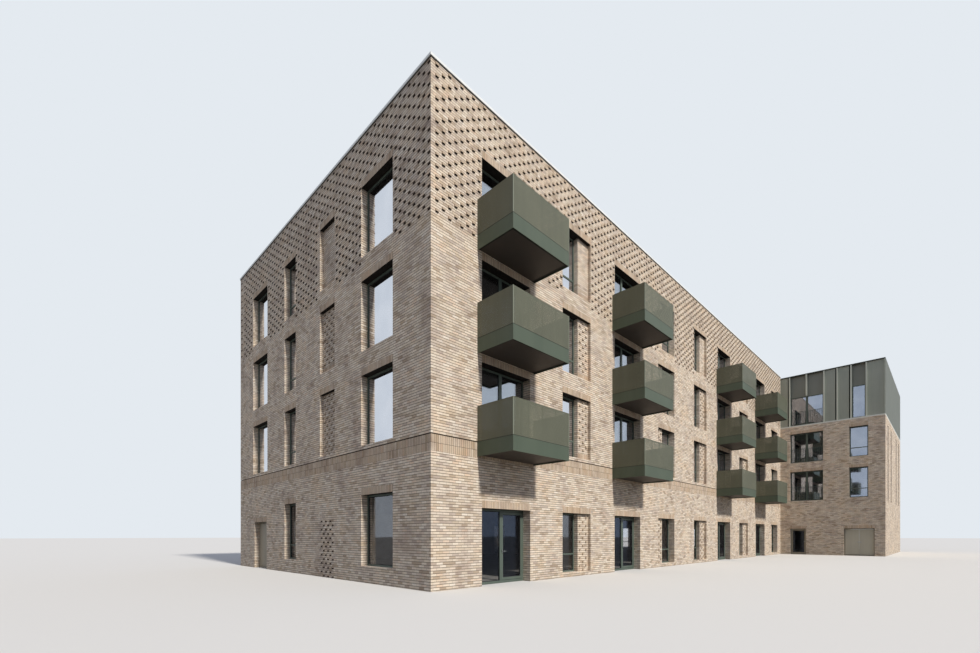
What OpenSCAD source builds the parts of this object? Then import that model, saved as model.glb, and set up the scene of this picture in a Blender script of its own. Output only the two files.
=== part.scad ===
// Apartment block, as a model at half of its real size.
// A long brick block with stacks of balconies ends at a wing that stands across it.
// The wing's top storey is clad in metal. All lengths are in millimetres.
// Lengths along a wall are taken from its left or near end, as each layout section says.

/* [Block] */
// Depth of the block, along the gable
depth = 7650; // [7500:50:8400]
// Thickness of the outer walls
wall_t = 200; // [170:5:230]

/* [Levels] */
// Level of the first floor above the ground
first_floor = 2100; // [2000:25:2300]
// Height from one upper floor to the next
storey_h = 1500; // [1450:25:1650]
// Thickness of the upper floors
floor_t = 125; // [90:5:150]
// Thickness of the ground floor slab
ground_slab_t = 40; // [30:5:60]
// Thickness of the roof slab
roof_t = 150; // [110:5:180]
// Height of the brick parapet above the roof
parapet_h = 500; // [400:10:700]
// Thickness of the coping
coping_t = 36; // [25:1:50]
// Overhang of the copings and caps
coping_lip = 14; // [5:1:20]

/* [Shadow line] */
// Height of the recessed line at the first floor
groove_h = 14; // [8:1:25]
// Depth of the recessed line
groove_d = 18; // [8:1:30]

/* [Windows] */
// Distance from the brick face back to the frames
reveal = 110; // [85:5:120]
// Distance from the frames on the long front to the inner face of the wall
front_inset = 15; // [10:1:25]
// Face width of the frame bars
frame_w = 28; // [20:1:36]
// Depth of the frames
frame_d = 35; // [30:1:45]
// Depth of the cross bars in front of the glass
bar_d = 12; // [8:1:15]
// Thickness of the glass units
glass_t = 12; // [8:1:14]
// Height of a window sill above its floor
sill_up = 75; // [50:5:150]
// Height of the window and door heads above their floor
head_up = 1190; // [1150:10:1250]
// Height of a cross bar above the sill
bar_up = 330; // [300:5:600]
// Height of the cross bar in the narrow windows above the sill
narrow_bar_up = 290; // [200:5:500]
// Height of the ground windows' sills on the front and the rear
ground_sill = 75; // [60:5:200]
// Height of the ground heads on the front and the rear
ground_head = 1150; // [1100:10:1200]

/* [Front bays] */
// Centre of the first balcony stack from the gable
first_stack_x = 1490; // [1400:10:1800]
// Distance from stack to window in the near half of the front
near_bay = 1890; // [1800:5:2100]
// Distance between the two windows in the middle of the front
middle_bay = 2130; // [1500:10:2600]
// Distance from stack to window in the far half of the front
far_bay = 1875; // [1750:5:2100]
// Distance from the centre of the last window to the wing
end_bay = 910; // [650:5:1200]
// Width of a window opening with its brick panel
bay_window_w = 900; // [850:10:1000]
// Width of the recessed brick panel beside each window
panel_w = 337.5; // [280:2.5:380]
// Distance from the brick face back to the panels
panel_recess = 65; // [30:5:80]
// Width of the terrace and balcony door openings
door_w = 1100; // [1000:10:1160]
// Width of the stile where two door halves meet
meeting_w = 64; // [50:1:80]

/* [Gable] */
// Distance from each corner to the wide windows
gable_margin = 900; // [800:10:1000]
// Width of the wide windows
wide_w = 900; // [800:10:1000]
// Start of the recessed panel from the near corner
gable_panel_y = 2700; // [2600:10:2900]
// Width of the recessed panel
gable_panel_w = 562.5; // [500:2.5:650]
// Start of the narrow windows from the near corner
narrow_y = 4330; // [4250:10:4500]
// Width of the narrow windows
narrow_w = 562.5; // [500:2.5:650]
// Height of the ground sills on the gable
gable_sill = 262.5; // [200:2.5:350]
// Height of the ground windows on the gable
gable_window_h = 1125; // [1050:5:1200]
// Start of the service door from the near corner
service_y = 5900; // [5850:10:6000]
// Width of the service door opening
service_w = 760; // [700:10:820]
// Height of the service door opening
service_h = 1050; // [1000:10:1120]

/* [Balconies] */
// Width of a balcony
balcony_w = 1285; // [1240:5:1400]
// Projection of a balcony
balcony_out = 700; // [600:10:900]
// Thickness of the fascia plates
fascia_t = 6; // [4:1:10]
// Height of the fascia above the balcony floor
fascia_up = 8; // [4:1:20]
// Depth of the fascia below the balcony floor
fascia_down = 205; // [180:1:240]
// Thickness of the balcony floor
deck_t = 40; // [25:1:60]
// Thickness of the soffit plate
soffit_t = 8; // [5:1:12]
// Height of the soffit plate above the fascia's lower edge
soffit_up = 20; // [10:1:30]
// Height of the guard above the balcony floor
guard_h = 528; // [500:1:600]
// Thickness of the guard sheets
sheet_t = 3; // [2:0.5:5]
// Side of the square guard posts and rails
rail_s = 12; // [10:1:16]
// Number of bays between the posts of the front guard
rail_bays = 4; // [2:1:6]

/* [Wing] */
// Length of the wing along the block
wing_len = 6700; // [6100:50:8000]
// Level of the top of the wing's brickwork
wing_brick_top = 5030; // [4960:5:5060]
// Height of the cap on the wing's brickwork
wing_cap_t = 45; // [20:1:55]
// Height of the metal storey from the cap to the roof edge
metal_h = 1950; // [1850:10:2000]
// Height of the roof edge of the wing
roof_edge_t = 36; // [20:1:50]
// Projection of the upright fins from the metal panels, up to the brick face
fin_out = 35; // [25:1:45]
// Face width of the fins
fin_w = 42; // [36:1:70]
// Distance aimed at between the fins where no window stands
fin_pitch = 420; // [350:5:600]
// Width of the open joint beside each fin
joint_w = 40; // [25:1:50]
// Depth of the open joint behind the face of the panels
joint_d = 50; // [30:1:60]

/* [Wing openings] */
// Start of the glazed pairs from the front of the block
pair_u = 335; // [300:5:400]
// Width of the glazed pairs
pair_w = 1080; // [1000:10:1100]
// Distance between the glazed pairs and the single windows
pair_to_single = 790; // [600:5:1000]
// Width of the single windows
single_w = 550; // [480:5:600]
// Height of the single windows' sills above their floor
single_sill_up = 45; // [30:5:120]
// Width of the metal storey's single window
metal_single_w = 400; // [340:5:430]
// Height of the metal storey's single window
metal_single_h = 1190; // [1050:5:1250]
// Distance from the single windows to the end of the wing
single_to_end = 475; // [400:5:700]
// Height of the upper openings on the wing's front
wing_window_h = 1145; // [1080:5:1180]
// Height of the metal storey's other windows
metal_window_h = 1125; // [1050:5:1150]
// Start of the entrance from the front of the block
entrance_u = 335; // [300:5:380]
// Width of the entrance
entrance_w = 530; // [500:5:560]
// Distance from the store doors to the end of the wing
store_margin = 295; // [240:5:400]
// Width of the store doors' opening
store_w = 890; // [850:5:920]
// Height of the entrance and the store doors
wing_door_h = 1005; // [980:5:1080]
// Width of the tall slots in the wing's end
slot_w = 280; // [240:5:320]
// Distance from the centre of the outer slots to the corners
slot_in = 950; // [900:10:1100]
// Distance between the two slots of a pair
slot_step = 1250; // [1000:10:1300]
// Level of the slots' sills
slot_sill = 2025; // [1900:25:2050]
// Height of the slots
slot_h = 2750; // [2600:25:2800]
// Height of the guard rails across the glazed pairs
juliet_h = 550; // [500:5:600]
// Side of the bars in those guard rails
juliet_s = 8; // [6:1:10]
// Number of spaces between the upright bars
juliet_bays = 18; // [12:1:24]

/* [Doors] */
// Clearance round the door leaves
leaf_gap = 5; // [5:0.5:8]
// Thickness of the door leaves
leaf_t = 25; // [20:1:28]
// Face width of the glazed leaves' stiles
stile_w = 40; // [30:1:50]
// Radius of the hinge knuckles
knuckle_r = 4; // [3:0.5:5]
// Height of one hinge knuckle
knuckle_h = 30; // [20:1:40]
// Clearance between the two knuckles of a hinge
knuckle_gap = 0.3; // [0.2:0.1:0.5]
// Distance of the end hinges from the ends of a leaf
hinge_inset = 110; // [90:5:150]

/* [Hidden] */
cut = 5;
upper_storeys = 3;

main_len = first_stack_x + 3 * near_bay + middle_bay + 4 * far_bay + end_bay;
total_len = main_len + wing_len;
single_u = pair_u + pair_w + pair_to_single;
wing_reach = single_u + single_w + single_to_end;
store_u = wing_reach - store_margin - store_w;
roof_level = first_floor + upper_storeys * storey_h;
brick_top = roof_level + parapet_h;
coping_top = brick_top + coping_t;
metal_base = wing_brick_top + wing_cap_t;
metal_top = metal_base + metal_h;
wing_top = metal_top + roof_edge_t;
window_h = head_up - sill_up;
ground_window_h = ground_head - ground_sill;
gable_split = gable_sill + gable_window_h;
glass_w = reveal + bar_d;
front_set_back = wall_t - frame_d - front_inset - reveal;
front_side_len = depth + wing_reach;

third_window_x = first_stack_x + 3 * near_bay + middle_bay;
stack_xs = [
    first_stack_x,
    first_stack_x + 2 * near_bay,
    third_window_x + far_bay,
    third_window_x + 3 * far_bay
];
window_xs = [
    first_stack_x + near_bay,
    first_stack_x + 3 * near_bay,
    third_window_x,
    third_window_x + 2 * far_bay,
    third_window_x + 4 * far_bay
];
panel_first = [false, true, false, false, true];
wide_us = [gable_margin, depth - gable_margin - wide_w];
side_us = [gable_margin, wing_reach + gable_margin, wing_reach + depth - gable_margin - wide_w];
rear_wing_us = [gable_margin, wing_len - gable_margin - wide_w];
slot_mids = [slot_in, slot_in + slot_step, wing_len - slot_in - slot_step, wing_len - slot_in];

x_min = -coping_lip;
x_max = total_len;
y_min = -wing_reach;
y_max = depth + coping_lip;

function level(storey) = first_floor + storey * storey_h;
function panel_start(i) = window_xs[i] - bay_window_w / 2 + (panel_first[i] ? 0 : bay_window_w - panel_w);
function light_start(i) = window_xs[i] - bay_window_w / 2 + (panel_first[i] ? panel_w : 0);
light_w = bay_window_w - panel_w;

// Windows of each wall as [start, width, sill level, height, height of the cross bar or 0 for none]
front_windows = [
    for (i = [0 : len(window_xs) - 1]) [light_start(i), light_w, ground_sill, ground_window_h, bar_up],
    for (s = [0 : upper_storeys - 1], i = [0 : len(window_xs) - 1])
        [light_start(i), light_w, level(s) + sill_up, window_h, bar_up]
];
rear_stack_windows = [
    for (x = stack_xs) [x - wide_w / 2, wide_w, ground_sill, ground_window_h, bar_up],
    for (s = [0 : upper_storeys - 1], x = stack_xs)
        [x - wide_w / 2, wide_w, level(s) + sill_up, window_h, bar_up]
];
gable_ground_windows = [
    [gable_margin, wide_w, gable_sill, gable_window_h, 0],
    [narrow_y, narrow_w, gable_sill, gable_window_h, narrow_bar_up]
];
gable_upper_windows = [
    for (s = [0 : upper_storeys - 1], u = wide_us) [u, wide_w, level(s) + sill_up, window_h, 0],
    for (s = [0 : upper_storeys - 1]) [narrow_y, narrow_w, level(s) + sill_up, window_h, narrow_bar_up]
];
wing_front_windows = [
    for (s = [0 : upper_storeys - 2])
        [single_u, single_w, level(s) + single_sill_up, wing_window_h - single_sill_up, bar_up]
];
wing_pairs = [for (s = [0 : upper_storeys - 2]) [pair_u, pair_w, level(s), wing_window_h]];
metal_pair = [pair_u, pair_w, metal_base, metal_window_h];
metal_single = [
    single_u + (single_w - metal_single_w) / 2,
    metal_single_w,
    metal_base,
    metal_single_h,
    0
];
side_brick_windows = [
    for (u = side_us) [u, wide_w, ground_sill, ground_window_h, bar_up],
    for (s = [0 : upper_storeys - 2], u = side_us) [u, wide_w, level(s) + sill_up, window_h, bar_up]
];
side_metal_windows = [for (u = side_us) [u, wide_w, metal_base, metal_window_h, bar_up]];
rear_wing_brick_windows = [
    for (u = rear_wing_us) [u, wide_w, ground_sill, ground_window_h, bar_up],
    for (s = [0 : upper_storeys - 2], u = rear_wing_us) [u, wide_w, level(s) + sill_up, window_h, bar_up]
];
rear_wing_metal_windows = [for (u = rear_wing_us) [u, wide_w, metal_base, metal_window_h, bar_up]];
slot_windows = [for (u = slot_mids) [u - slot_w / 2, slot_w, slot_sill, slot_h, level(1) - slot_sill]];
terrace_sides = [for (x = stack_xs) x - door_w / 2];

brick = "#b8a48c";
pale = "#d8d6d0";
frame_green = "#4a564d";
glass_blue = "#9fb0bd";
olive = "#6d7062";
khaki = "#7d725c";
metal_olive = "#6f7266";
concrete = "#a9a8a3";
dark = "#2b2622";

// Puts the origin under the middle of the whole block, at the ground
module place() {
    translate([-(x_min + x_max) / 2, -(y_min + y_max) / 2, 0]) children();
}

// Each wall frame has its first axis along the wall, its second into the wall, its third up
module on_front() {
    children();
}

// What stands in the front's openings lies deeper than in the other walls
module in_front() {
    on_front() translate([0, front_set_back, 0]) children();
}

module on_gable() {
    mirror([1, -1, 0]) children();
}

module on_rear(start) {
    translate([start, depth, 0]) mirror([0, 1, 0]) children();
}

module on_wing_front() {
    translate([main_len, 0, 0]) rotate(-90) children();
}

module on_wing_end() {
    translate([main_len, -wing_reach, 0]) children();
}

module on_wing_side() {
    translate([total_len, -wing_reach, 0]) rotate(90) children();
}

// A plain stretch of wall from one end to the other, between two levels
module wall_slab(start, end, low, high) {
    translate([start, 0, low]) cube([end - start, wall_t, high - low]);
}

// The hole of one opening, cut right through the wall
module hole(start, width, low, height) {
    translate([start, -cut, low]) cube([width, wall_t + 2 * cut, height]);
}

module window_holes(windows) {
    for (w = windows) hole(w[0], w[1], w[2], w[3]);
}

// The shadow line recessed in the face of a wall
module groove(start, end) {
    translate([start, -cut, first_floor]) cube([end - start, groove_d + cut, groove_h]);
}

// A frame round an opening, with the given widths of its lower and other bars
module frame_ring(start, width, low, height, foot) {
    difference() {
        translate([start, reveal, low]) cube([width, frame_d, height]);
        translate([start + frame_w, reveal - cut, low + foot])
            cube([width - 2 * frame_w, frame_d + 2 * cut, height - foot - frame_w]);
    }
}

// A window frame with a cross bar that stands in front of the one glass unit
module window_frame(w) {
    frame_ring(w[0], w[1], w[2], w[3], frame_w);
    if (w[4] > 0)
        translate([w[0] + frame_w, reveal, w[2] + w[4] - frame_w / 2])
            cube([w[1] - 2 * frame_w, bar_d, frame_w]);
}

module window_glass(w) {
    translate([w[0] + frame_w, glass_w, w[2] + frame_w])
        cube([w[1] - 2 * frame_w, glass_t, w[3] - 2 * frame_w]);
}

// A fixed pair of glazed halves that meet at a wide stile
module pair_frame(w) {
    frame_ring(w[0], w[1], w[2], w[3], frame_w);
    translate([w[0] + w[1] / 2 - meeting_w / 2, reveal, w[2] + frame_w])
        cube([meeting_w, frame_d, w[3] - 2 * frame_w]);
}

module pair_glass(w) {
    half = w[1] / 2 - frame_w - meeting_w / 2;
    for (start = [w[0] + frame_w, w[0] + w[1] / 2 + meeting_w / 2])
        translate([start, glass_w, w[2] + frame_w]) cube([half, glass_t, w[3] - 2 * frame_w]);
}

// The thin brickwork beside the glass, set back from the brick face
module brick_panel(start, width, low, height) {
    translate([start, panel_recess, low]) cube([width, wall_t - panel_recess, height]);
}

module bay_panels() {
    for (i = [0 : len(window_xs) - 1]) {
        brick_panel(panel_start(i), panel_w, ground_sill, ground_window_h);
        for (s = [0 : upper_storeys - 1])
            brick_panel(panel_start(i), panel_w, level(s) + sill_up, window_h);
    }
}

// The window and panel openings of the front and the rear, in one storey
module bay_holes(low, height) {
    for (x = window_xs) hole(x - bay_window_w / 2, bay_window_w, low, height);
}

module front_ground_piers() {
    color(brick) place() on_front() difference() {
        wall_slab(0, main_len, 0, ground_head);
        bay_holes(ground_sill, ground_window_h + cut);
        for (start = terrace_sides) hole(start, door_w, -cut, ground_head + 2 * cut);
    }
}

module front_upper_wall() {
    color(brick) place() on_front() difference() {
        wall_slab(0, main_len, ground_head, brick_top);
        for (s = [0 : upper_storeys - 1]) {
            bay_holes(level(s) + sill_up, window_h);
            for (start = terrace_sides) hole(start, door_w, level(s), head_up);
        }
        groove(-cut, main_len);
        translate([-cut, 0, first_floor]) cube([groove_d + cut, wall_t + cut, groove_h]);
    }
}

module front_brick_panels() {
    color(brick) place() on_front() bay_panels();
}

module gable_ground_wall() {
    color(brick) place() on_gable() difference() {
        wall_slab(wall_t, depth - wall_t, 0, gable_split);
        for (w = gable_ground_windows) hole(w[0], w[1], w[2], w[3] + cut);
        hole(service_y, service_w, -cut, gable_split + 2 * cut);
    }
}

module gable_upper_wall() {
    color(brick) place() on_gable() {
        difference() {
            wall_slab(wall_t, depth - wall_t, gable_split, brick_top);
            window_holes(gable_upper_windows);
            for (s = [0 : upper_storeys - 1])
                hole(gable_panel_y, gable_panel_w, level(s) + sill_up, window_h);
            groove(0, depth);
        }
        wall_slab(service_y, service_y + service_w, service_h, gable_split);
    }
}

module gable_brick_panels() {
    color(brick) place() on_gable()
        for (s = [0 : upper_storeys - 1])
            brick_panel(gable_panel_y, gable_panel_w, level(s) + sill_up, window_h);
}

module rear_wall() {
    color(brick) place() on_rear(0) difference() {
        wall_slab(0, main_len, 0, brick_top);
        bay_holes(ground_sill, ground_window_h);
        for (s = [0 : upper_storeys - 1]) bay_holes(level(s) + sill_up, window_h);
        window_holes(rear_stack_windows);
        groove(-cut, main_len);
        translate([-cut, 0, first_floor]) cube([groove_d + cut, wall_t + cut, groove_h]);
    }
}

module rear_brick_panels() {
    color(brick) place() on_rear(0) bay_panels();
}

// The plan inside the outer walls, as one L of two rectangles
module inner_plan(low, thickness) {
    translate([wall_t, wall_t, low])
        cube([total_len - 2 * wall_t, depth - 2 * wall_t, thickness]);
    translate([main_len + wall_t, wall_t - wing_reach, low])
        cube([wing_len - 2 * wall_t, front_side_len - 2 * wall_t, thickness]);
}

module ground_slab() {
    color(concrete) place() inner_plan(0, ground_slab_t);
}

module floor_slabs() {
    color(concrete) place()
        for (s = [0 : upper_storeys - 1]) inner_plan(level(s) - floor_t, floor_t);
}

module roof_slab() {
    color(concrete) place() inner_plan(roof_level - roof_t, roof_t);
}

module main_coping() {
    color(pale) place() translate([0, 0, brick_top]) difference() {
        translate([-coping_lip, -coping_lip, 0])
            cube([main_len + coping_lip, depth + 2 * coping_lip, coping_t]);
        translate([wall_t + coping_lip, wall_t + coping_lip, -cut])
            cube([main_len, depth - 2 * wall_t - 2 * coping_lip, coping_t + 2 * cut]);
    }
}

module wing_ground_piers() {
    color(brick) place() on_wing_front() difference() {
        wall_slab(-wall_t, wing_reach - wall_t, 0, wing_door_h);
        hole(entrance_u, entrance_w, -cut, wing_door_h + 2 * cut);
        hole(store_u, store_w, -cut, wing_door_h + 2 * cut);
    }
}

module wing_front_wall() {
    color(brick) place() on_wing_front() difference() {
        wall_slab(-wall_t, wing_reach - wall_t, wing_door_h, wing_brick_top);
        window_holes(wing_front_windows);
        window_holes(wing_pairs);
    }
}

module wing_end_wall() {
    color(brick) place() on_wing_end() difference() {
        wall_slab(0, wing_len, 0, wing_brick_top);
        window_holes(slot_windows);
    }
}

module wing_side_wall() {
    color(brick) place() on_wing_side() difference() {
        wall_slab(wall_t, front_side_len - wall_t, 0, wing_brick_top);
        window_holes(side_brick_windows);
    }
}

module wing_rear_wall() {
    color(brick) place() on_rear(main_len) difference() {
        wall_slab(0, wing_len, 0, wing_brick_top);
        window_holes(rear_wing_brick_windows);
    }
}

// A level band that lies along the top of the wing's four outer walls
module wing_band(low, thickness, lip) {
    translate([main_len, 0, low]) difference() {
        union() {
            translate([-lip, -wing_reach - lip, 0])
                cube([wing_len + 2 * lip, wing_reach, thickness]);
            translate([0, -wing_reach, 0])
                cube([wing_len + lip, front_side_len + lip, thickness]);
        }
        translate([wall_t, wall_t - wing_reach, -cut])
            cube([wing_len - 2 * wall_t, front_side_len - 2 * wall_t, thickness + 2 * cut]);
        translate([-cut, wall_t, -cut])
            cube([wing_len - wall_t, depth - 2 * wall_t, thickness + 2 * cut]);
    }
}

module wing_cap() {
    color(pale) place() wing_band(wing_brick_top, wing_cap_t, 0);
}

module wing_roof_edge() {
    color(metal_olive) place() wing_band(metal_top, roof_edge_t, 0);
}

// Middles of the fins on a stretch of metal wall that has no window
function fin_row(start, end) =
    let (count = max(1, round((end - start) / fin_pitch)))
    [for (i = [0 : count]) start + i * (end - start) / count];

front_fins = concat(
    [pair_u - fin_w / 2],
    fin_row(pair_u + pair_w + fin_w / 2, metal_single[0] - fin_w / 2),
    fin_row(metal_single[0] + metal_single_w + fin_w / 2, wing_reach - fin_w / 2)
);
side_fins = concat(
    fin_row(fin_w / 2, side_us[0] - fin_w / 2),
    [for (i = [1 : len(side_us) - 1])
        each fin_row(side_us[i - 1] + wide_w + fin_w / 2, side_us[i] - fin_w / 2)],
    fin_row(side_us[len(side_us) - 1] + wide_w + fin_w / 2, front_side_len - fin_w / 2)
);

// The tall openings of a metal wall, which hold a window and the infill above it
module metal_holes(windows) {
    for (w = windows) hole(w[0], w[1], w[2] - cut, metal_h + 2 * cut);
}

// A stretch of metal panels that lie behind the fins, with an open joint beside each fin
module metal_panels(start, end, windows, fins) {
    difference() {
        translate([start, fin_out, metal_base]) cube([end - start, wall_t - fin_out, metal_h]);
        metal_holes(windows);
        for (u = fins) if (u > joint_w + fin_w)
            translate([u - fin_w / 2 - joint_w, fin_out - cut, metal_base - cut])
                cube([joint_w, joint_d + cut, metal_h + 2 * cut]);
    }
}

// A flat metal wall at an end of the wing, notched where the recessed panels run up to a corner fin
module metal_end(windows, notches) {
    difference() {
        wall_slab(0, wing_len, metal_base, metal_top);
        metal_holes(windows);
        for (start = notches)
            translate([start, fin_w, metal_base - cut])
                cube([fin_out + cut, wall_t - fin_w + cut, metal_h + 2 * cut]);
    }
}

module wing_metal_sides() {
    color(metal_olive) place() {
        on_wing_front() {
            metal_panels(0, wing_reach - wall_t, [metal_pair, metal_single], front_fins);
            wall_slab(-wall_t, 0, metal_base, metal_top);
        }
        on_wing_side() metal_panels(wall_t, front_side_len - wall_t, side_metal_windows, side_fins);
    }
}

module wing_metal_ends() {
    color(metal_olive) place() {
        on_wing_end() metal_end([], [-cut, wing_len - fin_out]);
        on_rear(main_len) metal_end(rear_wing_metal_windows, [wing_len - fin_out]);
    }
}

// The dark panel that fills a tall opening above its window
module infill(w) {
    translate([w[0], reveal, w[2] + w[3]]) cube([w[1], frame_d, metal_top - w[2] - w[3]]);
}

module wing_infill_panels() {
    color(dark) place() {
        on_wing_front() for (w = [metal_pair, metal_single]) infill(w);
        on_wing_side() for (w = side_metal_windows) infill(w);
        on_rear(main_len) for (w = rear_wing_metal_windows) infill(w);
    }
}

// One fin, from the brick face back to what carries it
module fin(u, low, back) {
    translate([u - fin_w / 2, 0, low]) cube([fin_w, back, metal_top - low]);
}

module wing_seams() {
    color(metal_olive) place() {
        on_wing_front() {
            for (u = front_fins) if (u < wing_reach - fin_w) fin(u, metal_base, fin_out);
            fin(pair_u + pair_w / 2, metal_base + metal_window_h, reveal);
        }
        on_wing_side() for (u = side_fins)
            if (u > fin_w && u < front_side_len - fin_w) fin(u, metal_base, fin_out);
    }
}

module front_window_frames() {
    color(frame_green) place() in_front() for (w = front_windows) window_frame(w);
}

module front_window_glass() {
    color(glass_blue) place() in_front() for (w = front_windows) window_glass(w);
}

module gable_window_frames() {
    color(frame_green) place() on_gable()
        for (w = concat(gable_ground_windows, gable_upper_windows)) window_frame(w);
}

module gable_window_glass() {
    color(glass_blue) place() on_gable()
        for (w = concat(gable_ground_windows, gable_upper_windows)) window_glass(w);
}

module rear_window_frames() {
    color(frame_green) place() on_rear(0)
        for (w = concat(front_windows, rear_stack_windows)) window_frame(w);
}

module rear_window_glass() {
    color(glass_blue) place() on_rear(0)
        for (w = concat(front_windows, rear_stack_windows)) window_glass(w);
}

module wing_window_frames() {
    color(frame_green) place() {
        on_wing_front() {
            for (w = concat(wing_front_windows, [metal_single])) window_frame(w);
            for (w = concat(wing_pairs, [metal_pair])) pair_frame(w);
        }
        on_wing_end() for (w = slot_windows) window_frame(w);
        on_wing_side() for (w = concat(side_brick_windows, side_metal_windows)) window_frame(w);
        on_rear(main_len)
            for (w = concat(rear_wing_brick_windows, rear_wing_metal_windows)) window_frame(w);
    }
}

module wing_window_glass() {
    color(glass_blue) place() {
        on_wing_front() {
            for (w = concat(wing_front_windows, [metal_single])) window_glass(w);
            for (w = concat(wing_pairs, [metal_pair])) pair_glass(w);
        }
        on_wing_end() for (w = slot_windows) window_glass(w);
        on_wing_side() for (w = concat(side_brick_windows, side_metal_windows)) window_glass(w);
        on_rear(main_len)
            for (w = concat(rear_wing_brick_windows, rear_wing_metal_windows)) window_glass(w);
    }
}

module balcony_door_frames() {
    color(frame_green) place() in_front()
        for (s = [0 : upper_storeys - 1], start = terrace_sides)
            pair_frame([start, door_w, level(s), head_up]);
}

module balcony_door_glass() {
    color(glass_blue) place() in_front()
        for (s = [0 : upper_storeys - 1], start = terrace_sides)
            pair_glass([start, door_w, level(s), head_up]);
}

// Repeats its children for every balcony, from the middle of its wall side at floor level
module at_balconies() {
    place() for (s = [0 : upper_storeys - 1], x = stack_xs)
        translate([x, 0, level(s)]) children();
}

// A plate inside the fascia, from wall to front
module tray_plate(low, thickness) {
    translate([fascia_t - balcony_w / 2, fascia_t - balcony_out, low])
        cube([balcony_w - 2 * fascia_t, balcony_out - fascia_t, thickness]);
}

module balcony_decks() {
    color(concrete) at_balconies() tray_plate(-deck_t, deck_t);
}

module balcony_soffits() {
    color(dark) at_balconies() tray_plate(soffit_up - fascia_down, soffit_t);
}

module balcony_fascias() {
    fascia_h = fascia_up + fascia_down;
    color(olive) at_balconies() translate([0, 0, -fascia_down]) difference() {
        translate([-balcony_w / 2, -balcony_out, 0]) cube([balcony_w, balcony_out, fascia_h]);
        translate([fascia_t - balcony_w / 2, fascia_t - balcony_out, -cut])
            cube([balcony_w - 2 * fascia_t, balcony_out + cut, fascia_h + 2 * cut]);
    }
}

module balcony_front_guards() {
    color(olive) at_balconies() translate([-balcony_w / 2, -balcony_out, fascia_up])
        cube([balcony_w, sheet_t, guard_h - fascia_up]);
}

module balcony_side_guards() {
    color(olive) at_balconies()
        for (start = [-balcony_w / 2, balcony_w / 2 - sheet_t])
            translate([start, sheet_t - balcony_out, fascia_up])
                cube([sheet_t, balcony_out - sheet_t, guard_h - fascia_up]);
}

// A flat ladder of posts and two rails, standing on the balcony floor
module rail_panel(length, bays) {
    pitch = (length - rail_s) / bays;
    for (i = [0 : bays]) translate([i * pitch, 0, 0]) cube([rail_s, rail_s, guard_h]);
    for (low = [guard_h - rail_s, fascia_up]) translate([0, 0, low]) cube([length, rail_s, rail_s]);
}

module balcony_rails() {
    front_len = balcony_w - 2 * fascia_t;
    side_len = balcony_out - fascia_t - rail_s - knuckle_gap;
    color(olive) at_balconies() {
        translate([fascia_t - balcony_w / 2, fascia_t - balcony_out, 0]) rail_panel(front_len, rail_bays);
        for (start = [fascia_t - balcony_w / 2, balcony_w / 2 - fascia_t - rail_s])
            translate([start + rail_s, -side_len, 0]) rotate(90) rail_panel(side_len, 2);
    }
}

// A door frame whose lower bar is a threshold as deep as the rest of the wall
module door_frame(start, width, height, set_back) {
    frame_ring(start, width, 0, height, ground_slab_t);
    translate([start, reveal, 0]) cube([width, wall_t - reveal - set_back, ground_slab_t]);
}

leaf_low = ground_slab_t + leaf_gap;

// Levels of the hinges of a leaf whose opening has the given head
function hinge_levels(head) = [
    leaf_low + hinge_inset,
    (leaf_low + head - frame_w - leaf_gap) / 2,
    head - frame_w - leaf_gap - hinge_inset
];

// One knuckle with the neck that joins it to the frame or the leaf on the side of dir
module knuckle(dir) {
    cylinder(h = knuckle_h, r = knuckle_r);
    translate([dir > 0 ? 0 : -4 * knuckle_r, 0, 0]) cube([4 * knuckle_r, knuckle_r, knuckle_h]);
}

// The fixed knuckles at the jamb, for a leaf that lies on the side of dir
module frame_knuckles(axis, head, dir) {
    for (z = hinge_levels(head))
        translate([axis, reveal - knuckle_r, z - knuckle_h]) knuckle(-dir);
}

module leaf_knuckles(axis, head, dir) {
    for (z = hinge_levels(head))
        translate([axis, reveal - knuckle_r, z + knuckle_gap]) knuckle(dir);
}

// A plain leaf between two points along the wall
module plain_leaf(start, end, head) {
    translate([start, reveal, leaf_low])
        cube([end - start, leaf_t, head - frame_w - leaf_gap - leaf_low]);
}

module glazed_leaf(start, end, head) {
    difference() {
        plain_leaf(start, end, head);
        translate([start + stile_w, reveal - cut, leaf_low + stile_w])
            cube([
                end - start - 2 * stile_w,
                leaf_t + 2 * cut,
                head - frame_w - leaf_gap - leaf_low - 2 * stile_w
            ]);
    }
}

module leaf_glass(start, end, head) {
    translate([start + stile_w, reveal + (leaf_t - glass_t) / 2, leaf_low + stile_w])
        cube([
            end - start - 2 * stile_w,
            glass_t,
            head - frame_w - leaf_gap - leaf_low - 2 * stile_w
        ]);
}

// A terrace opening: the near half is a fixed light, the far half a leaf hinged at the far jamb
terrace_post_w = frame_w;
function terrace_leaf_start(i) = terrace_sides[i] + door_w / 2 + terrace_post_w / 2 + leaf_gap;
function terrace_leaf_end(i) = terrace_sides[i] + door_w - frame_w - leaf_gap;
function terrace_axis(i) = terrace_sides[i] + door_w - frame_w - leaf_gap / 2;

module terrace_door_frames() {
    color(frame_green) place() in_front() for (i = [0 : len(terrace_sides) - 1]) {
        start = terrace_sides[i];
        door_frame(start, door_w, ground_head, front_set_back);
        translate([start + door_w / 2 - terrace_post_w / 2, reveal, 0])
            cube([terrace_post_w, frame_d, ground_head]);
        frame_knuckles(terrace_axis(i), ground_head, -1);
    }
}

module terrace_fixed_glass() {
    color(glass_blue) place() in_front() for (start = terrace_sides)
        translate([start + frame_w, glass_w, ground_slab_t])
            cube([
                door_w / 2 - frame_w - terrace_post_w / 2,
                glass_t,
                ground_head - frame_w - ground_slab_t
            ]);
}

module terrace_door(i) {
    color(frame_green) place() in_front() {
        glazed_leaf(terrace_leaf_start(i), terrace_leaf_end(i), ground_head);
        leaf_knuckles(terrace_axis(i), ground_head, -1);
    }
}

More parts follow.
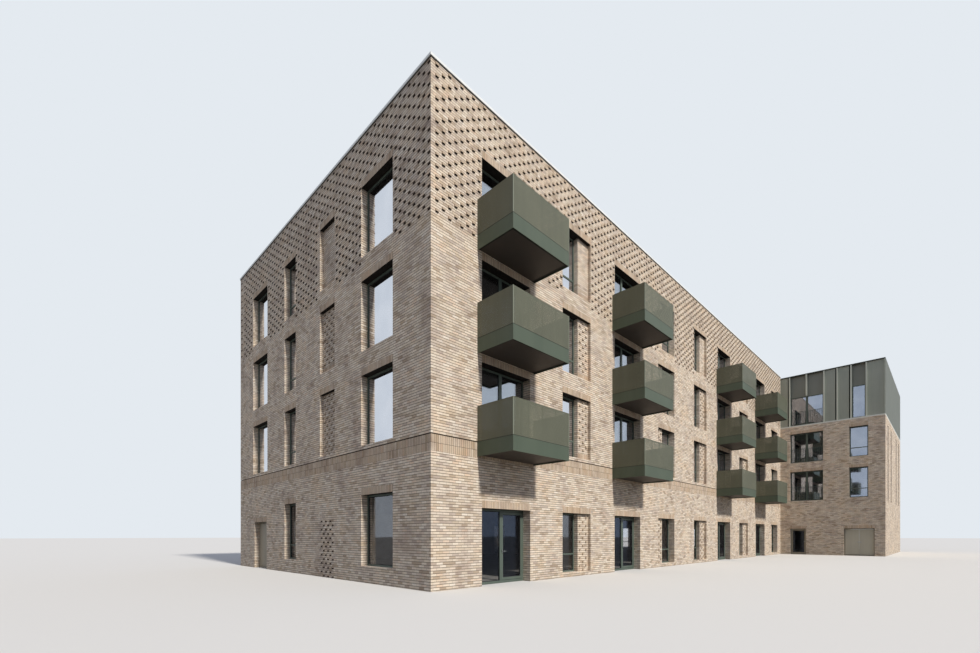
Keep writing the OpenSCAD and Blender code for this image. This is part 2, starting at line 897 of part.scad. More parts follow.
module terrace_glass(i) {
    color(glass_blue) place() in_front()
        leaf_glass(terrace_leaf_start(i), terrace_leaf_end(i), ground_head);
}

service_axis = service_y + service_w - frame_w - leaf_gap / 2;
entrance_axis = entrance_u + frame_w + leaf_gap / 2;
store_left_axis = store_u + frame_w + leaf_gap / 2;
store_right_axis = store_u + store_w - frame_w - leaf_gap / 2;
store_middle = store_u + store_w / 2;

module ground_door_frames() {
    color(khaki) place() {
        on_gable() {
            door_frame(service_y, service_w, service_h, 0);
            frame_knuckles(service_axis, service_h, -1);
        }
        on_wing_front() {
            door_frame(entrance_u, entrance_w, wing_door_h, 0);
            frame_knuckles(entrance_axis, wing_door_h, 1);
            door_frame(store_u, store_w, wing_door_h, 0);
            frame_knuckles(store_left_axis, wing_door_h, 1);
            frame_knuckles(store_right_axis, wing_door_h, -1);
        }
    }
}

module service_door() {
    color(khaki) place() on_gable() {
        plain_leaf(service_y + frame_w + leaf_gap, service_y + service_w - frame_w - leaf_gap, service_h);
        leaf_knuckles(service_axis, service_h, -1);
    }
}

module entrance_door() {
    color(frame_green) place() on_wing_front() {
        glazed_leaf(
            entrance_u + frame_w + leaf_gap,
            entrance_u + entrance_w - frame_w - leaf_gap,
            wing_door_h
        );
        leaf_knuckles(entrance_axis, wing_door_h, 1);
    }
}

module entrance_glass() {
    color(glass_blue) place() on_wing_front()
        leaf_glass(
            entrance_u + frame_w + leaf_gap,
            entrance_u + entrance_w - frame_w - leaf_gap,
            wing_door_h
        );
}

module store_door_left() {
    color(khaki) place() on_wing_front() {
        plain_leaf(store_u + frame_w + leaf_gap, store_middle - leaf_gap / 2, wing_door_h);
        leaf_knuckles(store_left_axis, wing_door_h, 1);
    }
}

module store_door_right() {
    color(khaki) place() on_wing_front() {
        plain_leaf(store_middle + leaf_gap / 2, store_u + store_w - frame_w - leaf_gap, wing_door_h);
        leaf_knuckles(store_right_axis, wing_door_h, -1);
    }
}

// Guard rails across the glazed pairs, fixed between the two reveals
module juliet_rails() {
    pitch = (pair_w - juliet_s) / juliet_bays;
    lows = [for (s = [0 : upper_storeys - 2]) level(s), metal_base];
    color(frame_green) place() on_wing_front() for (low = lows)
        translate([pair_u, reveal / 2, low + frame_w]) {
            for (i = [0 : juliet_bays]) translate([i * pitch, 0, 0])
                cube([juliet_s, juliet_s, juliet_h - frame_w]);
            for (z = [0, juliet_h - frame_w - juliet_s])
                translate([0, 0, z]) cube([pair_w, juliet_s, juliet_s]);
        }
}

ground_slab();
floor_slabs();
roof_slab();
front_ground_piers();
front_upper_wall();
front_brick_panels();
gable_ground_wall();
gable_upper_wall();
gable_brick_panels();
rear_wall();
rear_brick_panels();
main_coping();
wing_ground_piers();
wing_front_wall();
wing_end_wall();
wing_side_wall();
wing_rear_wall();
wing_cap();
wing_metal_sides();
wing_metal_ends();
wing_infill_panels();
wing_seams();
wing_roof_edge();
front_window_frames();
front_window_glass();
gable_window_frames();
gable_window_glass();
rear_window_frames();
rear_window_glass();
wing_window_frames();
wing_window_glass();
balcony_door_frames();
balcony_door_glass();
balcony_decks();
balcony_soffits();
balcony_fascias();
balcony_front_guards();
balcony_side_guards();
balcony_rails();
terrace_door_frames();
terrace_fixed_glass();
ground_door_frames();
juliet_rails();
service_door();
entrance_door();
entrance_glass();
store_door_left();
store_door_right();
terrace_door(0);  // terrace_door_1
terrace_door(1);  // terrace_door_2
terrace_door(2);  // terrace_door_3
terrace_door(3);  // terrace_door_4
terrace_glass(0);  // terrace_glass_1
terrace_glass(1);  // terrace_glass_2
terrace_glass(2);  // terrace_glass_3
terrace_glass(3);  // terrace_glass_4
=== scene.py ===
# %% [markdown]
# # A brick apartment block with a metal-clad wing
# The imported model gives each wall, window, door and balcony as a plain solid, at half of the real size.
# This lesson dresses those solids. Walls get brick courses, upright courses and a lattice of headers that
# stand proud, and everything else gets the finish that the real piece has. All lengths are in metres.

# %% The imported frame
import math

import bpy
import numpy as np
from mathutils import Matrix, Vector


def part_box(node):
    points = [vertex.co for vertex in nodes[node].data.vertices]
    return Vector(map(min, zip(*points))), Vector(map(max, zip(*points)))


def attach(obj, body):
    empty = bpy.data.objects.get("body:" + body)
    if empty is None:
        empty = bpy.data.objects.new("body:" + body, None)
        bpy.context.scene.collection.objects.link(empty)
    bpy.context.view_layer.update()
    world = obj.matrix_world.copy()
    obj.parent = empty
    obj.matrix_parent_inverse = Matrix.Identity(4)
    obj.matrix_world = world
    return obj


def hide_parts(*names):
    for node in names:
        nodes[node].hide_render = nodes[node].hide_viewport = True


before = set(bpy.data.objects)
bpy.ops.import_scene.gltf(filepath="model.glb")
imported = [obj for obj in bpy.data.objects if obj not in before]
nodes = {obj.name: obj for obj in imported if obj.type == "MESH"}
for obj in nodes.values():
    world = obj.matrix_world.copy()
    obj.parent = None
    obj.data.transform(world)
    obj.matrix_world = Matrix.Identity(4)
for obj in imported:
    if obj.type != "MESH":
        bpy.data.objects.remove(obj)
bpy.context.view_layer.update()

# %% [markdown]
# Every place in the scene follows from a few lines of the block: the near corner where the long front meets
# the gable, the plane where the wing begins, and the outer faces of the rear and the wing.

# %% Lines that the pieces share
front_low, front_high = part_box("front_upper_wall")
wing_low, wing_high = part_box("wing_end_wall")
corner_x, corner_y = front_low.x, front_low.y
main_end = front_high.x
rear_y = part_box("rear_wall")[1].y
wing_front_y = wing_low.y
wing_side_x = wing_high.x
brick_top = front_high.z
floor_t = 0.125
first_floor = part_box("floor_slabs")[0].z + floor_t
wall_t = 0.2
print("near corner", round(corner_x, 3), round(corner_y, 3), "first floor", round(first_floor, 3))

# %% [markdown]
# ## Camera
# The photo was taken from low down beside the near corner with a wide lens held level, so upright edges stay
# upright and the tall walls fit only because the picture is shifted upwards. A level camera with a shift gives
# the same picture. Its place and heading were solved on the photo's two vanishing points.

# %% Camera
eye_left, eye_front, eye_up = 3.788, 4.875, 0.751
heading = -45.124


def add_object(name, data):
    """Puts a camera, a light or a mesh into the scene as an object."""
    thing = bpy.data.objects.new(name, data)
    bpy.context.scene.collection.objects.link(thing)
    return thing


camera = add_object("photo_camera", bpy.data.cameras.new("photo_camera"))
camera.location = (corner_x - eye_left, corner_y - eye_front, eye_up)
camera.rotation_euler = (math.radians(90), 0, math.radians(heading))
camera.data.lens = 17.01
camera.data.shift_y = 0.2130
camera.data.clip_end = 400
bpy.context.scene.camera = camera
bpy.context.scene.view_settings.view_transform = "Standard"
print("camera", [round(v, 3) for v in camera.location])

# %% [markdown]
# ## Colours and nodes
# Colours are written as hex values, as a paint chart or a screen shows them, and the renderer wants light
# amounts. One function turns one into the other, one adds a node to a material, and one does a sum with it.

# %% Helpers for colours and nodes


def linear(code):
    """Light amounts of a hex colour: a channel is divided by 12.92 in the dark, else raised to the power 2.4."""
    channels = np.array([int(code[i:i + 2], 16) for i in (1, 3, 5)]) / 255
    light = np.where(channels <= 0.04045, channels / 12.92, ((channels + 0.055) / 1.055) ** 2.4)
    return (*light.tolist(), 1.0)


def add_node(tree, kind, settings=None, sockets=None):
    """Adds a node with its settings, and gives each named or numbered socket a value or a link."""
    node = tree.nodes.new(kind)
    for key, value in (settings or {}).items():
        setattr(node, key, value)
    for key, value in (sockets or {}).items():
        if isinstance(value, bpy.types.NodeSocket):
            tree.links.new(value, node.inputs[key])
        else:
            node.inputs[key].default_value = value
    return node


def math_node(tree, operation, first, second=0.0, third=0.0):
    """One sum on up to three numbers."""
    return add_node(tree, "ShaderNodeMath", {"operation": operation}, {0: first, 1: second, 2: third}).outputs[0]


print("mid grey is", round(linear("#808080")[0], 3), "of white light")

# %% [markdown]
# A finish starts as one Principled shader. Noise, read at the object's own coordinates, decides where a surface
# is dark or light, the colours that it wanders between are the stops of a ramp, and a bump makes it rough.

# %% New materials, noise, ramps and bumps


def new_material(name, **sockets):
    """An empty material with a Principled shader, whose sockets get the given plain values."""
    material = bpy.data.materials.new(name)
    material.use_nodes = True
    tree = material.node_tree
    shader = tree.nodes["Principled BSDF"]
    for key, value in sockets.items():
        shader.inputs[key.replace("_", " ")].default_value = value
    return material, tree, shader


def own_place(tree):
    """The object's own coordinates, in metres."""
    return add_node(tree, "ShaderNodeTexCoord").outputs["Object"]


def noise(tree, place, scale, detail, **more):
    """Smooth random numbers about a half, whose bumps are one over the scale apart."""
    sockets = {"Vector": place, "Scale": scale, "Detail": detail, **more}
    return add_node(tree, "ShaderNodeTexNoise", sockets=sockets).outputs["Fac"]


def ramp(tree, factor, stops):
    """A ramp from a list of (position, hex colour)."""
    node = add_node(tree, "ShaderNodeValToRGB", sockets={"Fac": factor})
    while len(node.color_ramp.elements) < len(stops):
        node.color_ramp.elements.new(0.5)
    for element, (position, code) in zip(node.color_ramp.elements, stops):
        element.position = position
        element.color = linear(code)
    return node.outputs["Color"]


def two_tones(tree, shader, factor, dark, light, spread=0.2):
    """Lets a surface's colour wander between two tones, with a factor that lies about a half."""
    stops = [(0.5 - spread, dark), (0.5 + spread, light)]
    tree.links.new(ramp(tree, factor, stops), shader.inputs["Base Color"])


def mixed(tree, factor, first, second, blend="MIX"):
    """A colour between two, or one laid over the other with a blend."""
    node = add_node(tree, "ShaderNodeMix", {"data_type": "RGBA", "blend_type": blend},
                    {0: factor, 6: first, 7: second})
    return node.outputs[2]


def add_bump(tree, shader, strength, distance, height):
    """Shades a surface as if it rose and fell by a distance with the height."""
    bump = add_node(tree, "ShaderNodeBump", sockets={"Strength": strength, "Distance": distance, "Height": height})
    tree.links.new(bump.outputs["Normal"], shader.inputs["Normal"])


print("materials are ready to be made")

# %% [markdown]
# ## Brickwork
# The real walls are laid from a sand-faced multi buff stock, 215 x 65 mm with 10 mm joints, so a course is
# 75 mm. Here all of that is halved. Clay from different parts of the kiln gives tones from cream over buff to
# a pinkish tan, close to each other. Each brick gets a random place on a ramp of those tones.

# %% Multi buff stock brick
brick_run = 0.1125
course_h = 0.0375
joint = 0.005
brick_tones = [
    (0.00, "#BDAB97"), (0.10, "#D4C4AE"), (0.24, "#E4D5C1"), (0.42, "#EEE2CF"), (0.58, "#E1D2C1"),
    (0.70, "#F4EADA"), (0.82, "#E9D4BE"), (0.91, "#D8CBBC"), (1.00, "#C4B4A6"),
]


def brick_texture(tree, run, height, shift):
    """Bricks on a plan of run and height: the tone of each brick, and how far a point is into a joint."""
    place = add_node(tree, "ShaderNodeCombineXYZ", sockets={0: run, 1: height}).outputs[0]
    return add_node(
        tree, "ShaderNodeTexBrick", {"offset": shift, "offset_frequency": 2},
        {"Vector": place, "Color1": (0, 0, 0, 1), "Color2": (1, 1, 1, 1), "Mortar": (0.5, 0.5, 0.5, 1),
         "Scale": 1.0, "Mortar Size": joint / 2, "Mortar Smooth": 0.35, "Bias": 0.0,
         "Brick Width": brick_run, "Row Height": course_h})


print("a brick and its joints take", brick_run, "by", course_h, "m")

# %% [markdown]
# An attribute on the faces says what is laid there. A positive value is the level of the feet of upright
# bricks, and zero is plain courses. Below zero are three marks: a face that looks down or lies in deep shade,
# painted near black as that shade, the end of a header brick on the gable and rear, painted dark as if in
# shade, and the paler end of one on the front and in the panels. Each gives a mask of noughts and ones, so one
# material serves all walls.

# %% Marks of the bond
shade_mark, shaded_end_mark, pale_end_mark = -1.0, -2.0, -3.0


def bond_masks(tree):
    """The attribute, and masks of upright bricks, faces and header ends painted in shade, pale ends and plain
    courses.
    """
    mark = add_node(tree, "ShaderNodeAttribute", {"attribute_name": "bond"}).outputs["Fac"]
    upright = math_node(tree, "GREATER_THAN", mark, 0.01)
    shaded, shaded_end, pale_end = (math_node(tree, "COMPARE", mark, value, 0.1)
                                  for value in (shade_mark, shaded_end_mark, pale_end_mark))
    coursed = 1.0
    for other in (upright, shaded_end, pale_end):
        coursed = math_node(tree, "SUBTRACT", coursed, other)
    return mark, upright, shaded, shaded_end, pale_end, coursed


print("marks:", shade_mark, shaded_end_mark, pale_end_mark)

# %% [markdown]
# The pattern reads the level as its height and the sum of the two plan directions as its run, so it turns
# every corner without a seam. A slow wander bends the joints a little, as no bricklayer's line is quite
# straight. The bed joints are raked, so they hold shade and read darker than the upright ones.

# %% Courses and upright bricks
course_lift = 0.012
first_brick = 0.0925
spare_bricks, spare_courses = 40, 10
wander = 0.003
bed_core, bed_edge = 0.0026, 0.0046
even_share, even_tone = 0.15, 0.35


def brick_pattern(tree, place, mark, upright, coursed):
    """Tone of each brick, and how far a point is into any joint and into a bed joint.

    The run is X + Y and the height is Z, both moved by the wander. Whole spare bricks and courses keep both
    above zero. Upright bricks are the same pattern with its run and height swapped, and are closer in tone."""
    split = add_node(tree, "ShaderNodeSeparateXYZ", sockets={0: place})
    drift = math_node(tree, "MULTIPLY_ADD", noise(tree, place, 30.0, 2.0), wander, -wander / 2)
    run = math_node(tree, "ADD", split.outputs["X"], split.outputs["Y"])
    run = math_node(tree, "ADD", run, spare_bricks * brick_run - (corner_x + corner_y) - first_brick)
    run = math_node(tree, "ADD", run, drift)
    height = math_node(tree, "ADD", split.outputs["Z"], drift)
    laid_height = math_node(tree, "ADD", height, spare_courses * course_h - course_lift)
    laid = brick_texture(tree, run, laid_height, 0.5)
    stood = brick_texture(tree, math_node(tree, "SUBTRACT", height, mark), run, 0.0)
    tone = mixed(tree, upright, laid.outputs["Color"], stood.outputs["Color"])
    tone = mixed(tree, math_node(tree, "MULTIPLY", upright, even_share), tone, (*[even_tone] * 3, 1.0))
    into_joint = math_node(tree, "ADD", math_node(tree, "MULTIPLY", laid.outputs["Fac"], coursed),
                           math_node(tree, "MULTIPLY", stood.outputs["Fac"], upright))
    from_bed = math_node(tree, "PINGPONG", laid_height, course_h / 2)
    bed = add_node(tree, "ShaderNodeMapRange", {"interpolation_type": "SMOOTHSTEP"},
                   {"Value": from_bed, "From Min": bed_core, "From Max": bed_edge, "To Min": 1.0, "To Max": 0.0})
    return tone, into_joint, math_node(tree, "MULTIPLY", bed.outputs[0], coursed)


print("a bed joint darkens", 2 * bed_edge, "m")

# %% [markdown]
# The faces are sanded, and each batch of bricks weathers in its own way, which leaves soft clouds on the
# walls. Colours are laid over each other from the clay outwards: tone, sand, weather, mortar, the painted shade
# of the raked bed joints, the header ends and the near-black painted shade of faces marked as shaded.

# %% The brick material


def make_brick():
    """Course bricks and upright bricks, picked by the attribute, with sanded faces and raked bed joints."""
    material, tree, shader = new_material("multi_buff_stock_brick", Roughness=0.93, Specular_IOR_Level=0.25)
    place = own_place(tree)
    mark, upright, shaded, shaded_end, pale_end, coursed = bond_masks(tree)
    tone, into_joint, bed = brick_pattern(tree, place, mark, upright, coursed)
    colour = ramp(tree, tone, brick_tones)
    colour = mixed(tree, upright, colour, linear("#E4DDD6"), "MULTIPLY")
    sand = noise(tree, place, 180.0, 4.0, Roughness=0.7)
    sanded = ramp(tree, sand, [(0.30, "#CDC6BE"), (0.55, "#FFFFFF"), (0.75, "#FFFBF5")])
    colour = mixed(tree, 0.7, colour, sanded, "MULTIPLY")
    batches = noise(tree, place, 2.2, 3.0, Roughness=0.65)
    weather = ramp(tree, batches, [(0.30, "#BFB3B2"), (0.5, "#FFFFFF"), (0.68, "#FFF3E4")])
    colour = mixed(tree, 0.55, colour, weather, "MULTIPLY")
    mortar = mixed(tree, upright, linear("#B3A594"), linear("#564C41"))
    # Painted shade: the raked bed joints are darker for the shade that they hold, the header ends of the gable and
    # rear are dark as if in shade, and faces marked as shaded are near black.
    for mask, paint in ((into_joint, mortar), (bed, linear("#746859")), (shaded_end, linear("#3D3027")),
                        (pale_end, linear("#B9A792")), (shaded, linear("#1E1915"))):
        colour = mixed(tree, mask, colour, paint)
    tree.links.new(colour, shader.inputs["Base Color"])
    rake = math_node(tree, "MAXIMUM", into_joint, bed)
    face = math_node(tree, "MULTIPLY_ADD", rake, -1.0, math_node(tree, "MULTIPLY", sand, 0.5))
    add_bump(tree, shader, 0.8, 0.003, face)
    return material


brick = make_brick()
print(len(brick.node_tree.nodes), "nodes in the brick material")

# %% [markdown]
# The inner faces of the walls are plastered, in a grey darker than plaster's own that paints the dim rooms.
# They are seen only through the windows, in soft shade.

# %% Plaster inside
plaster, tree, shader = new_material("skimmed_gypsum_plaster_greyed_for_room_shade", Roughness=0.9)
two_tones(tree, shader, noise(tree, own_place(tree), 6.0, 4.0), "#8F8B84", "#A19C94")
print("plaster ready")

# %% [markdown]
# ## Faces of brick
# A wall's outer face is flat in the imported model. It is built again as a grid of cells, whose lines run
# through every corner of the windows and doors, so that some cells can stand upright as lintels. The rest of
# the wall, such as its window reveals, is copied as it is.

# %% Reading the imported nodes
level_with = 1e-4


def node_triangles(name):
    """Corner points of a node's triangles, as an array of triangle, corner and axis."""
    mesh = nodes[name].data
    mesh.calc_loop_triangles()
    points = np.empty(len(mesh.vertices) * 3)
    mesh.vertices.foreach_get("co", points)
    index = np.empty(len(mesh.loop_triangles) * 3, dtype=int)
    mesh.loop_triangles.foreach_get("vertices", index)
    return points.reshape(-1, 3)[index.reshape(-1, 3)]


def boxes_of(name):
    """Low and high corners of a node's separate boxes: each box is twelve triangles in a row."""
    boxes = node_triangles(name).reshape(-1, 12, 3, 3)
    return boxes.min((1, 2)), boxes.max((1, 2))


def on_plane(triangles, axis, at):
    """Whether all three corners of each triangle lie at a place along an axis."""
    return np.all(np.abs(triangles[:, :, axis] - at) < level_with, axis=1)


print("front wall:", len(node_triangles("front_upper_wall")), "triangles")

# %% [markdown]
# A new mesh is its corner points and, for each face, the numbers of its corners. Equal points are welded, so
# that neighbouring faces share them. Each piece rides on the body that it belongs to.

# %% Making a piece
digits = 5


def place_mesh(name, mesh, body):
    """Makes a piece of a mesh and lets it ride on a body."""
    piece = add_object(name, mesh)
    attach(piece, body)
    return piece


def add_piece(name, points, faces, finishes, body, picks, bonds=None):
    """A piece of points and lists of corner numbers, with equal points welded and a finish picked for each face."""
    merged, index = np.unique(np.round(points, digits), axis=0, return_inverse=True)
    index = index.reshape(-1)
    mesh = bpy.data.meshes.new(name)
    mesh.from_pydata(merged, [], [index[f] for f in faces])
    for finish in finishes:
        mesh.materials.append(finish)
    mesh.polygons.foreach_set("material_index", picks)
    if bonds is not None:
        mesh.attributes.new("bond", "FLOAT", "FACE").data.foreach_set("value", bonds)
    return place_mesh(name, mesh, body)


print("points are welded within", 10 ** -digits, "m")

# %% [markdown]
# A course of upright bricks stands over every opening, and a double one runs along the foot of the first
# floor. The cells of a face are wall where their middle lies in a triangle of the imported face, and the same
# cells tell later where a header brick may stand.

# %% Grid of one brick face
soldier_h = 0.1125
line_h = 0.1


def cell_lookup(lines, values):
    """Number of the cell that holds each value, between neighbouring lines, and whether it is inside them."""
    cell = np.searchsorted(lines, values) - 1
    return np.clip(cell, 0, len(lines) - 2), (cell >= 0) & (cell < len(lines) - 1)


def inside_triangles(s, z, triangles):
    """Whether each point lies in any triangle: its turn about all three edges has the same sign."""
    a, b, c = (triangles[None, :, k] for k in range(3))
    p = np.stack([s, z], -1)[:, None]

    def turn(u, v):
        return (v[..., 0] - u[..., 0]) * (p[..., 1] - u[..., 1]) - (v[..., 1] - u[..., 1]) * (p[..., 0] - u[..., 0])

    turns = np.stack([turn(a, b), turn(b, c), turn(c, a)], -1)
    return (np.all(turns > 0, -1) | np.all(turns < 0, -1)).any(1)


def brick_face(triangles, plane, band=None):
    """The grid of one face: points, corner numbers and bond of its cells, and the cells with plain courses.

    A cell stands upright where it is in the band, or within one brick's length over an opening that is
    taller than a recessed line."""
    axis, at, outward = plane
    face = triangles[on_plane(triangles, axis, at)][:, :, [1 - axis, 2]]
    s_lines = np.unique(np.round(face[..., 0], digits))
    z_first = np.unique(np.round(face[..., 1], digits))
    s_mid = (s_lines[1:] + s_lines[:-1]) / 2
    z_mid = (z_first[1:] + z_first[:-1]) / 2
    grid_s, grid_z = np.meshgrid(s_mid, z_mid, indexing="ij")
    wall_first = inside_triangles(grid_s.ravel(), grid_z.ravel(), face).reshape(grid_s.shape)
    heads = wall_first.copy()
    heads[:, 0] = False
    heads[:, 1:] &= ~wall_first[:, :-1]
    heads &= ~wall_first[:, cell_lookup(z_first, z_first[:-1] - line_h)[0]]
    feet = np.where(heads.any(0))[0]
    levels = z_first[feet]
    z_lines = np.unique(np.round(np.concatenate([z_first, levels + soldier_h, band or []]), digits))
    z_lines = z_lines[z_lines <= z_first[-1]]
    z_mid = (z_lines[1:] + z_lines[:-1]) / 2
    wall = wall_first[:, cell_lookup(z_first, z_mid)[0]]
    above = z_mid[None, :, None] - levels
    over = heads[:, feet][:, None, :] & (above > 0) & (above < soldier_h)
    base = (over * levels).max(-1) if len(levels) else np.zeros(wall.shape)
    if band:
        base = np.where((z_mid > band[0]) & (z_mid < band[1]), band[0], base)
    s_grid, z_grid = np.meshgrid(s_lines, z_lines, indexing="ij")
    points = np.zeros((s_grid.size, 3))
    points[:, axis] = at
    points[:, 1 - axis] = s_grid.ravel()
    points[:, 2] = z_grid.ravel()
    i, j = np.where(wall)
    n = len(z_lines)
    quads = np.stack([i * n + j, (i + 1) * n + j, (i + 1) * n + j + 1, i * n + j + 1], 1)
    if (axis == 1) == (outward > 0):
        quads = quads[:, ::-1]
    return points, quads, base[i, j], (s_lines, z_lines, wall & (base == 0), wall)


print("an upright course is", soldier_h, "m high")

# %% [markdown]
# In the top storey, every second course has a header brick in every fourth place that stands proud of the
# wall, staggered from row to row. The recessed panels and a patch low on the gable carry the same lattice in
# a few columns. A header may stand only where its whole outline lies on plain courses.

# %% Places of the header bricks
header_w = 0.05125
header_h = 0.0325
header_cycle = 4
top_first = 5.175
below_sill = 0.15


def header_places(cells, lattices):
    """Middles and feet of the headers whose whole outline lies on plain courses, as two arrays.

    A lattice is the middles of its columns, the phase of each, and its courses. Headers repeat after four
    courses, and the second phase is two courses behind. None stands under a sill of the top storey."""
    s_lines, z_lines, plain, wall = cells
    top_opening = (~wall & (z_lines[1:] > top_first)[None, :]).any(1)
    places = []
    for columns, phases, courses in lattices:
        col, row = np.meshgrid(np.arange(len(columns)), courses, indexing="ij")
        s, z = columns[col], row * course_h + course_lift
        there = (row - courses[0] - header_cycle // 2 * phases[col]) % header_cycle == 0
        for s_side in (-header_w / 2, header_w / 2):
            for z_side in (0.0, header_h):
                s_cell, s_in = cell_lookup(s_lines, s + s_side)
                z_cell, z_in = cell_lookup(z_lines, z + z_side)
                there = there & s_in & z_in & plain[s_cell, z_cell]
                there = there & ~(top_opening[s_cell] & (z < top_first) & (z > top_first - below_sill))
        places.append((s[there], z[there]))
    return np.concatenate(places, 1)


print("a header is", header_w, "by", header_h, "m")

# %% [markdown]
# Each header is the end of a brick that runs back into the wall, so it is a box that starts just behind the
# face. All boxes of a wall are one mesh, worked out from two arrays of corners. On the front the headers stand
# well out, and their undersides, painted near black as deep shade, draw the pattern. On the gable and the rear
# they may stand out no further than the coping, so only the lower part of each is built, and its sides and end
# are painted dark as if in shade too, to read as strongly.

# %% Boxes and header bricks
box_corners = np.array([[0, 0, 0], [1, 0, 0], [1, 1, 0], [0, 1, 0], [0, 0, 1], [1, 0, 1], [1, 1, 1], [0, 1, 1]])
box_quads = np.array([[0, 3, 2, 1], [4, 5, 6, 7], [0, 1, 5, 4], [2, 3, 7, 6], [3, 0, 4, 7], [1, 2, 6, 5]])
end_quad = {(1, -1): 2, (1, 1): 3, (0, -1): 4, (0, 1): 5}
shaded_header_h = 0.025
header_out = 0.009
front_header_out = 0.022
header_in = 0.002


def add_boxes(name, low, high, finish, body, slot, bonds=None):
    """A piece of many separate boxes between two arrays of corners, each with six outward faces.

    The faces come in the order underside, top, low and high in Y, low and high in X."""
    points = low[:, None] + box_corners * (high - low)[:, None]
    faces = (len(box_corners) * np.arange(len(low))[:, None, None] + box_quads).reshape(-1, 4)
    mesh = bpy.data.meshes.new(name)
    mesh.from_pydata(points.reshape(-1, 3), [], faces)
    mesh.materials.append(finish)
    if bonds is not None:
        mesh.attributes.new("bond", "FLOAT", "FACE").data.foreach_set("value", np.tile(bonds, len(low)))
    return place_mesh(name, mesh, body)


def add_headers(name, plane, cells, lattices, slot, end_mark, out):
    """Header bricks on a face, from just behind it to a distance in front of it."""
    axis, at, outward = plane
    middles, feet = header_places(cells, lattices)
    dark = end_mark == shaded_end_mark
    low, high = np.zeros((2, len(middles), 3))
    low[:, 1 - axis], high[:, 1 - axis] = middles - header_w / 2, middles + header_w / 2
    low[:, 2], high[:, 2] = feet, feet + (shaded_header_h if dark else header_h)
    low[:, axis], high[:, axis] = sorted([at - outward * header_in, at + outward * out])
    # Undersides are painted in deep shade; on the gable and rear the sides and end are painted in shade too.
    bonds = np.full(len(box_quads), shade_mark if dark else end_mark)
    bonds[:2] = shade_mark, 0.0
    bonds[end_quad[(axis, outward)]] = end_mark
    add_boxes(name, low, high, brick, "building", slot, bonds)
    print(name, len(middles), "header bricks")


print("headers stand", front_header_out, "m proud on the front and", header_out, "m on the gable and rear")

# %% [markdown]
# A piece of brickwork stands for one or two packed walls. Its main face comes first in the list of planes, and
# each plane has the levels of its band of upright bricks, if it has one.

# %% Brickwork pieces
mostly = 0.9
off_ground = 0.01


def brickwork(name, names, planes, depth=wall_t):
    """Replaces packed walls: gridded faces in the given planes, and all other triangles as they are.

    Those that look mostly down, above the ground, are marked for painted shade, and those of the inner face are
    plastered."""
    triangles = np.concatenate([node_triangles(n) for n in names])
    axis, at, outward = planes[0][0]
    in_plane = np.zeros(len(triangles), bool)
    for plane, _ in planes:
        in_plane |= on_plane(triangles, plane[0], plane[1])
    rest = triangles[~in_plane]
    turn = np.cross(rest[:, 1] - rest[:, 0], rest[:, 2] - rest[:, 0])
    looks_down = turn[:, 2] < -mostly * np.linalg.norm(turn, axis=1)
    looks_down &= rest[:, :, 2].min(1) > off_ground
    points, faces = [rest.reshape(-1, 3)], list(np.arange(len(rest) * 3).reshape(-1, 3))
    bonds = [shade_mark * looks_down]
    inside = np.all(np.abs(rest[:, :, axis] - at) > depth - 1e-3, axis=1)
    count = len(rest) * 3
    cells = []
    for plane, band in planes:
        grid_points, quads, grid_bonds, grid_cells = brick_face(triangles, plane, band)
        cells.append(grid_cells)
        points.append(grid_points)
        faces += list(quads + count)
        bonds.append(grid_bonds)
        count += len(grid_points)
    bonds = np.concatenate(bonds)
    picks = np.zeros(len(bonds), int)
    picks[:len(rest)] = inside
    used = np.unique(np.concatenate([np.ravel(f) for f in faces]))
    lookup = np.zeros(count, int)
    lookup[used] = np.arange(len(used))
    piece = add_piece(name, np.concatenate(points)[used], [lookup[f] for f in faces], [brick, plaster], "building",
                      picks, bonds)
    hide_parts(*names)
    print(name, len(piece.data.polygons), "faces")
    return cells


print("walls are", wall_t, "m thick")

# %% [markdown]
# The columns of headers were measured on the photo. The top storey's lattice starts a little above its floor.

# %% Walls of the block
front_first, front_step = 0.097, 0.1114
gable_first, gable_step = 0.0365, 0.11205
patch_first, patch_step = 0.063, 0.0853
top_courses, patch_courses = np.arange(135, 188), np.arange(0, 28)


def staggered(columns, courses):
    """A lattice whose every other column is two courses behind."""
    return columns, np.arange(len(columns)) % 2, courses


front_top = staggered(corner_x + np.arange(front_first, main_end - corner_x, front_step), top_courses)
gable_top = staggered(corner_y + np.arange(gable_first, rear_y - corner_y, gable_step), top_courses)
patch_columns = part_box("gable_brick_panels")[0].y + patch_first + patch_step * np.arange(6)
gable_patch = staggered(patch_columns, patch_courses)
soldier_band = [first_floor - 2 * soldier_h, first_floor]
front_plane = (1, corner_y, -1)
gable_plane = (0, corner_x, -1)
rear_plane = (1, rear_y, 1)
front_cells, corner_cells = brickwork("front_brickwork", ["front_ground_piers", "front_upper_wall"],
                                      [(front_plane, soldier_band), (gable_plane, soldier_band)])
add_headers("front_headers", front_plane, front_cells, [front_top], "brick", pale_end_mark, front_header_out)
gable_cells, = brickwork("gable_brickwork", ["gable_ground_wall", "gable_upper_wall"],
                         [(gable_plane, soldier_band)])
add_headers("gable_headers", gable_plane, gable_cells, [gable_top, gable_patch], "brick", shaded_end_mark,
            header_out)
rear_cells, back_cells = brickwork("rear_brickwork", ["rear_wall"],
                                   [(rear_plane, soldier_band), (gable_plane, soldier_band)])
for name, plane, cells, lattice in (
        ("corner_headers", gable_plane, corner_cells, gable_top),
        ("back_corner_headers", gable_plane, back_cells, gable_top),
        ("rear_headers", rear_plane, rear_cells, front_top)):
    add_headers(name, plane, cells, [lattice], "brick", shaded_end_mark, header_out)

# %% [markdown]
# The wing has plain courses and no band. Each of its pieces also covers the narrow faces that it shows round
# a corner.

